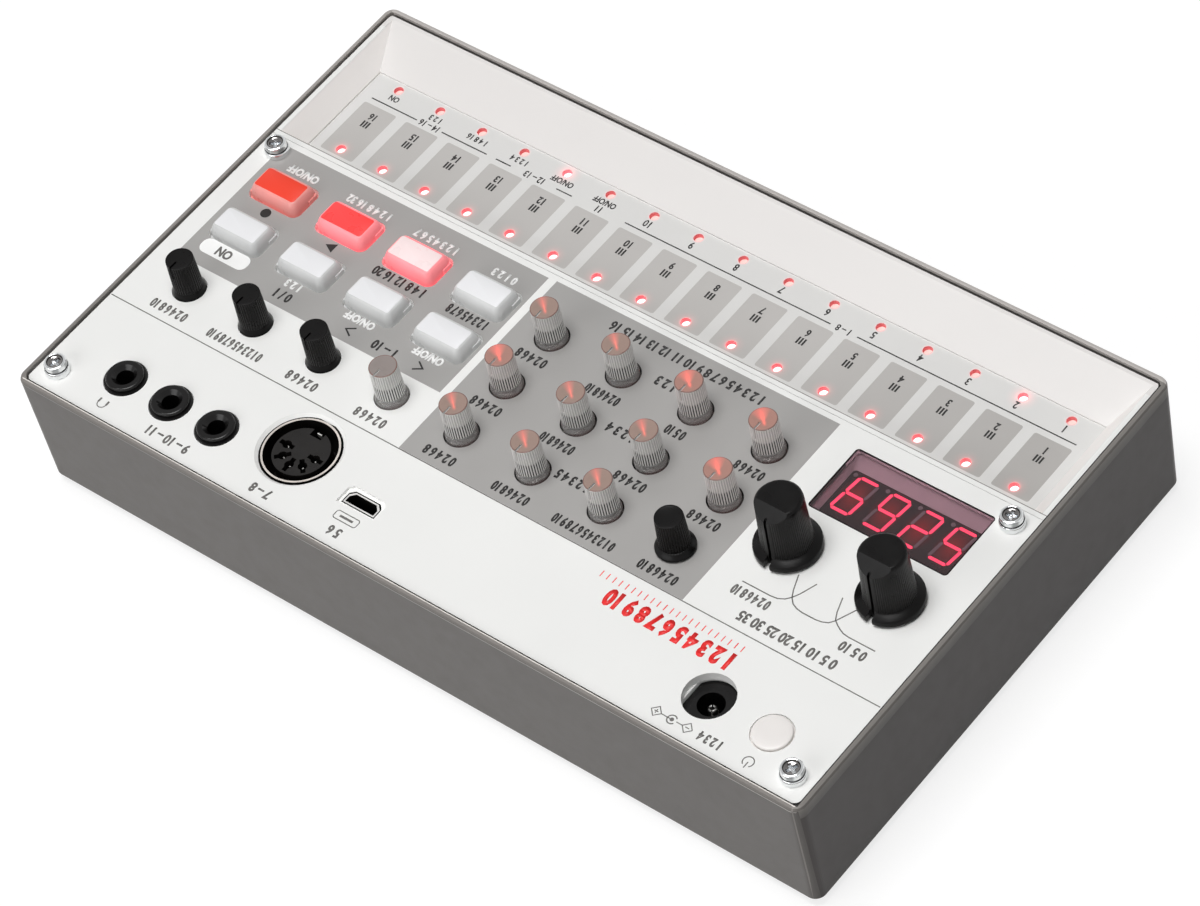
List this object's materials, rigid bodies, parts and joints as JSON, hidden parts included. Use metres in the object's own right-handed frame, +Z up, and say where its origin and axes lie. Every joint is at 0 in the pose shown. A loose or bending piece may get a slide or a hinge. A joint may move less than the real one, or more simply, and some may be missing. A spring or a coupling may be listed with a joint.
{
  "type": "drum machine",
  "caption": "Desktop drum machine: grey case, white panel with knobs, push buttons and a small display, touch keys in a sunk white frame, sockets along the rear.",
  "frame": {"origin": "on the table, under the middle of the case", "axes": "+X to the right along the case's width, +Y to the rear towards the sockets, +Z up"},
  "size_m": [0.193, 0.115, 0.045],
  "materials": {
    "case_plastic": "fine texture, matte",
    "panel_white": "smooth satin white with printed grey blocks",
    "frame_white": "smooth satin white",
    "key_foil": "matte printed foil",
    "board": "solder mask",
    "led": "lit clear resin",
    "component": "moulded",
    "wire": "smooth insulation",
    "display": "dark module with lit segments",
    "window": "tinted clear",
    "chrome_screw": "polished",
    "steel": "plated",
    "rubber": "matte",
    "cell": "printed sleeve",
    "socket_black": "moulded satin",
    "socket_metal": "plated",
    "knob_black": "fine matte with flutes",
    "knob_clear": "clear fluted plastic over a light",
    "button_white": "painted top on a translucent body",
    "button_lit": "translucent, lit from below",
    "button_red": "painted top on a translucent body"
  },
  "bodies": {
    "case": {"bottom_case": "case_plastic", "control_plate": "panel_white", "key_frame": "frame_white", "key_overlay": "key_foil", "key_board": "board", "key_leds": "led", "main_board": "board", "board_parts": "component", "link_cable": "wire", "display_module": "display", "display_window": "window", "plate_screws": "chrome_screw", "frame_screws": "steel", "board_screws": "steel", "feet": "rubber", "battery_cells": "cell", "battery_contacts": "steel", "battery_leads": "wire", "phone_jacks": "socket_black", "midi_shield": "socket_metal", "midi_insert": "socket_black", "usb_shell": "socket_metal", "usb_insert": "socket_black", "power_jack": "socket_black", "power_jack_pin": "socket_metal", "knob_pots": "component", "encoder_body": "component", "large_pots": "component", "panel_leds": "led", "button_switches": "component"},
    "battery_door": {"battery_door": "case_plastic"},
    "select_knob": {"select_knob": "knob_black"},
    "bass_knob": {"bass_knob": "knob_black", "bass_shaft": "steel"},
    "treble_knob": {"treble_knob": "knob_black", "treble_shaft": "steel"},
    "start_point_knob": {"start_point_knob": "knob_clear"},
    "length_knob": {"length_knob": "knob_clear"},
    "hi_cut_knob": {"hi_cut_knob": "knob_clear"},
    "tempo_knob": {"tempo_knob": "knob_clear"},
    "swing_knob": {"swing_knob": "knob_black"},
    "reverb_mix_knob": {"reverb_mix_knob": "knob_black"},
    "volume_knob": {"volume_knob": "knob_black"},
    "speed_knob": {"speed_knob": "knob_clear"},
    "pitch_depth_knob": {"pitch_depth_knob": "knob_clear"},
    "pitch_attack_knob": {"pitch_attack_knob": "knob_clear"},
    "pitch_decay_knob": {"pitch_decay_knob": "knob_clear"},
    "level_knob": {"level_knob": "knob_clear"},
    "pan_knob": {"pan_knob": "knob_clear"},
    "amp_attack_knob": {"amp_attack_knob": "knob_clear"},
    "amp_decay_knob": {"amp_decay_knob": "knob_clear"},
    "reverse_button": {"reverse_button": "button_white"},
    "reverb_button": {"reverb_button": "button_white"},
    "mute_button": {"mute_button": "button_white"},
    "function_button": {"function_button": "button_white"},
    "memory_button": {"memory_button": "button_white"},
    "step_mode_button": {"step_mode_button": "button_lit"},
    "play_button": {"play_button": "button_lit"},
    "record_button": {"record_button": "button_red"},
    "power_button": {"power_button": "button_white"}
  },
  "joints": [
    {"name": "battery_door_hinge", "type": "hinge", "parent": "case", "child": "battery_door", "pos_m": [0, -0.0218, 0.0025], "axis": [1, 0, 0], "range_deg": [0, 90]},
    {"name": "select_knob_turn", "type": "hinge", "parent": "case", "child": "select_knob", "pos_m": [-0.04077, 0.0218, 0.0306], "axis": [0, 0, 1], "continuous": true},
    {"name": "start_point_knob_turn", "type": "hinge", "parent": "case", "child": "start_point_knob", "pos_m": [-0.02392, 0.0218, 0.0306], "axis": [0, 0, 1], "range_deg": [-150, 150]},
    {"name": "length_knob_turn", "type": "hinge", "parent": "case", "child": "length_knob", "pos_m": [-0.00627, 0.0218, 0.0306], "axis": [0, 0, 1], "range_deg": [-150, 150]},
    {"name": "hi_cut_knob_turn", "type": "hinge", "parent": "case", "child": "hi_cut_knob", "pos_m": [0.01139, 0.0218, 0.0306], "axis": [0, 0, 1], "range_deg": [-150, 150]},
    {"name": "tempo_knob_turn", "type": "hinge", "parent": "case", "child": "tempo_knob", "pos_m": [0.02904, 0.0218, 0.0306], "axis": [0, 0, 1], "range_deg": [-150, 150]},
    {"name": "swing_knob_turn", "type": "hinge", "parent": "case", "child": "swing_knob", "pos_m": [0.04669, 0.0218, 0.0306], "axis": [0, 0, 1], "range_deg": [-150, 150]},
    {"name": "reverb_mix_knob_turn", "type": "hinge", "parent": "case", "child": "reverb_mix_knob", "pos_m": [0.06435, 0.0218, 0.0306], "axis": [0, 0, 1], "range_deg": [-150, 150]},
    {"name": "volume_knob_turn", "type": "hinge", "parent": "case", "child": "volume_knob", "pos_m": [0.082, 0.0218, 0.0306], "axis": [0, 0, 1], "range_deg": [-150, 150]},
    {"name": "speed_knob_turn", "type": "hinge", "parent": "case", "child": "speed_knob", "pos_m": [-0.04157, 0.00807, 0.0306], "axis": [0, 0, 1], "range_deg": [-150, 150]},
    {"name": "pitch_depth_knob_turn", "type": "hinge", "parent": "case", "child": "pitch_depth_knob", "pos_m": [-0.02392, 0.00807, 0.0306], "axis": [0, 0, 1], "range_deg": [-150, 150]},
    {"name": "pitch_attack_knob_turn", "type": "hinge", "parent": "case", "child": "pitch_attack_knob", "pos_m": [-0.00627, 0.00807, 0.0306], "axis": [0, 0, 1], "range_deg": [-150, 150]},
    {"name": "pitch_decay_knob_turn", "type": "hinge", "parent": "case", "child": "pitch_decay_knob", "pos_m": [0.01139, 0.00807, 0.0306], "axis": [0, 0, 1], "range_deg": [-150, 150]},
    {"name": "level_knob_turn", "type": "hinge", "parent": "case", "child": "level_knob", "pos_m": [-0.04157, -0.00566, 0.0306], "axis": [0, 0, 1], "range_deg": [-150, 150]},
    {"name": "pan_knob_turn", "type": "hinge", "parent": "case", "child": "pan_knob", "pos_m": [-0.02392, -0.00566, 0.0306], "axis": [0, 0, 1], "range_deg": [-150, 150]},
    {"name": "amp_attack_knob_turn", "type": "hinge", "parent": "case", "child": "amp_attack_knob", "pos_m": [-0.00627, -0.00566, 0.0306], "axis": [0, 0, 1], "range_deg": [-150, 150]},
    {"name": "amp_decay_knob_turn", "type": "hinge", "parent": "case", "child": "amp_decay_knob", "pos_m": [0.01139, -0.00566, 0.0306], "axis": [0, 0, 1], "range_deg": [-150, 150]},
    {"name": "bass_knob_turn", "type": "hinge", "parent": "case", "child": "bass_knob", "pos_m": [-0.0822, 0.0108, 0.0306], "axis": [0, 0, 1], "range_deg": [-150, 150]},
    {"name": "treble_knob_turn", "type": "hinge", "parent": "case", "child": "treble_knob", "pos_m": [-0.0587, 0.0108, 0.0306], "axis": [0, 0, 1], "range_deg": [-150, 150]},
    {"name": "reverse_button_press", "type": "slide", "parent": "case", "child": "reverse_button", "axis": [0, 0, -1], "range_m": [0, 0.0008], "stiffness_N_per_m": 300, "springref_m": -0.0004},
    {"name": "reverb_button_press", "type": "slide", "parent": "case", "child": "reverb_button", "axis": [0, 0, -1], "range_m": [0, 0.0008], "stiffness_N_per_m": 300, "springref_m": -0.0004},
    {"name": "mute_button_press", "type": "slide", "parent": "case", "child": "mute_button", "axis": [0, 0, -1], "range_m": [0, 0.0008], "stiffness_N_per_m": 300, "springref_m": -0.0004},
    {"name": "function_button_press", "type": "slide", "parent": "case", "child": "function_button", "axis": [0, 0, -1], "range_m": [0, 0.0008], "stiffness_N_per_m": 300, "springref_m": -0.0004},
    {"name": "memory_button_press", "type": "slide", "parent": "case", "child": "memory_button", "axis": [0, 0, -1], "range_m": [0, 0.0008], "stiffness_N_per_m": 300, "springref_m": -0.0004},
    {"name": "step_mode_button_press", "type": "slide", "parent": "case", "child": "step_mode_button", "axis": [0, 0, -1], "range_m": [0, 0.0008], "stiffness_N_per_m": 300, "springref_m": -0.0004},
    {"name": "play_button_press", "type": "slide", "parent": "case", "child": "play_button", "axis": [0, 0, -1], "range_m": [0, 0.0008], "stiffness_N_per_m": 300, "springref_m": -0.0004},
    {"name": "record_button_press", "type": "slide", "parent": "case", "child": "record_button", "axis": [0, 0, -1], "range_m": [0, 0.0008], "stiffness_N_per_m": 300, "springref_m": -0.0004},
    {"name": "power_button_press", "type": "slide", "parent": "case", "child": "power_button", "axis": [0, 0, -1], "range_m": [0, 0.0008], "stiffness_N_per_m": 300, "springref_m": -0.0004}
  ]
}
